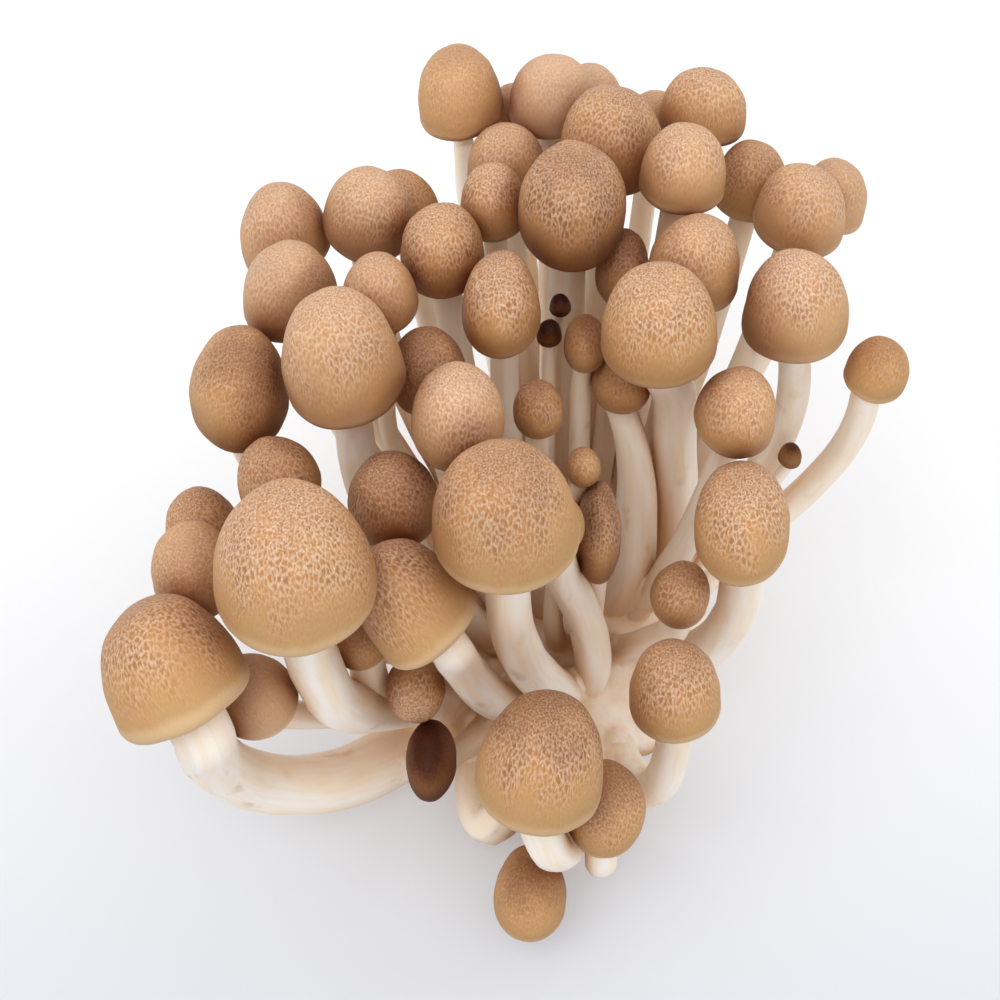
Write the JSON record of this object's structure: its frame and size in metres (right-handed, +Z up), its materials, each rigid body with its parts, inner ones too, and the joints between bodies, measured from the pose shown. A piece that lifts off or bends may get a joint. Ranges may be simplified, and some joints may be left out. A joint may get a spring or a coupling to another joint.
{
  "type": "beech mushroom cluster",
  "caption": "Cluster of fresh brown beech mushrooms: round marbled caps on pale curved stems grown together at one base, standing on its flat cut.",
  "frame": {"origin": "middle of the flat cut under the base, on the surface that the cluster stands on", "axes": "+Z up, out of the cut base toward the caps; +Y away from the viewer of the picture; +X to the viewer's right"},
  "size_m": [0.1212, 0.1374, 0.0941],
  "materials": {
    "cap_brown": "matte",
    "stem_white": "matte"
  },
  "bodies": {
    "root": {"cap_01": "cap_brown", "cap_02": "cap_brown", "cap_03": "cap_brown", "cap_04": "cap_brown", "cap_05": "cap_brown", "cap_06": "cap_brown", "cap_07": "cap_brown", "cap_08": "cap_brown", "cap_09": "cap_brown", "cap_10": "cap_brown", "cap_11": "cap_brown", "cap_12": "cap_brown", "cap_13": "cap_brown", "cap_14": "cap_brown", "cap_15": "cap_brown", "cap_16": "cap_brown", "cap_17": "cap_brown", "cap_18": "cap_brown", "cap_19": "cap_brown", "cap_20": "cap_brown", "cap_21": "cap_brown", "cap_22": "cap_brown", "cap_23": "cap_brown", "cap_24": "cap_brown", "cap_25": "cap_brown", "cap_26": "cap_brown", "cap_27": "cap_brown", "cap_28": "cap_brown", "cap_29": "cap_brown", "cap_30": "cap_brown", "cap_31": "cap_brown", "cap_32": "cap_brown", "cap_33": "cap_brown", "cap_34": "cap_brown", "cap_35": "cap_brown", "cap_36": "cap_brown", "cap_37": "cap_brown", "cap_38": "cap_brown", "cap_39": "cap_brown", "cap_40": "cap_brown", "cap_41": "cap_brown", "cap_42": "cap_brown", "cap_43": "cap_brown", "cap_44": "cap_brown", "cap_45": "cap_brown", "cap_46": "cap_brown", "cap_47": "cap_brown", "cap_48": "cap_brown", "cap_49": "cap_brown", "cap_50": "cap_brown", "cap_51": "cap_brown", "cap_52": "cap_brown", "cap_53": "cap_brown", "cap_54": "cap_brown", "cap_55": "cap_brown", "cap_56": "cap_brown", "cap_57": "cap_brown", "cap_58": "cap_brown", "cap_59": "cap_brown", "stems": "stem_white"}
  },
  "joints": []
}
